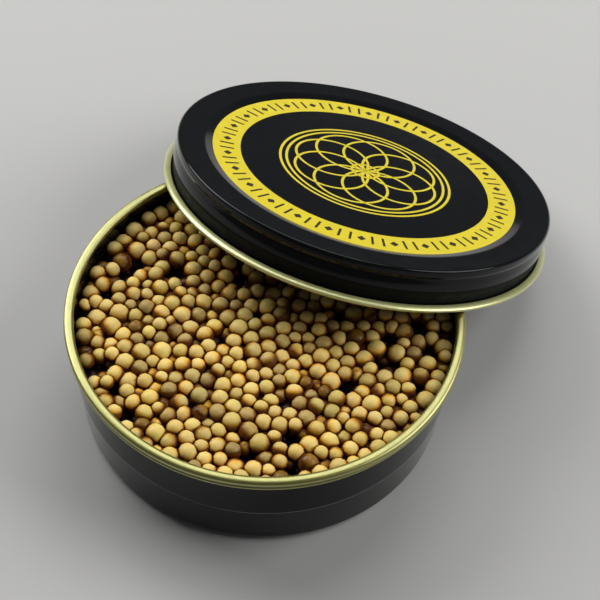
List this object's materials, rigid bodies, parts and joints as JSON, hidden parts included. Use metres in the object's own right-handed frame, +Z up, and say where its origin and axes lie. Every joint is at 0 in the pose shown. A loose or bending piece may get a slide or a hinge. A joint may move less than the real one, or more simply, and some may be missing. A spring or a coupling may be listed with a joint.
{
  "type": "dish of osetra caviar",
  "caption": "Open round tin filled with osetra caviar, its slip-on lid leaning on the rolled rim.",
  "frame": {"origin": "centre of the tin's flat bottom, on the surface that the tin and the lid stand on", "axes": "+Z up along the tin's axis; +Y from the tin towards the lid that leans on it; +X to the right when looking along +Y"},
  "size_m": [0.0744, 0.1071, 0.0362],
  "materials": {
    "black_lacquer": "gloss",
    "gold_lacquer": "satin",
    "roe": "gloss"
  },
  "bodies": {
    "root": {"tin": "black_lacquer", "caviar": "roe", "lid": "black_lacquer"}
  },
  "joints": []
}
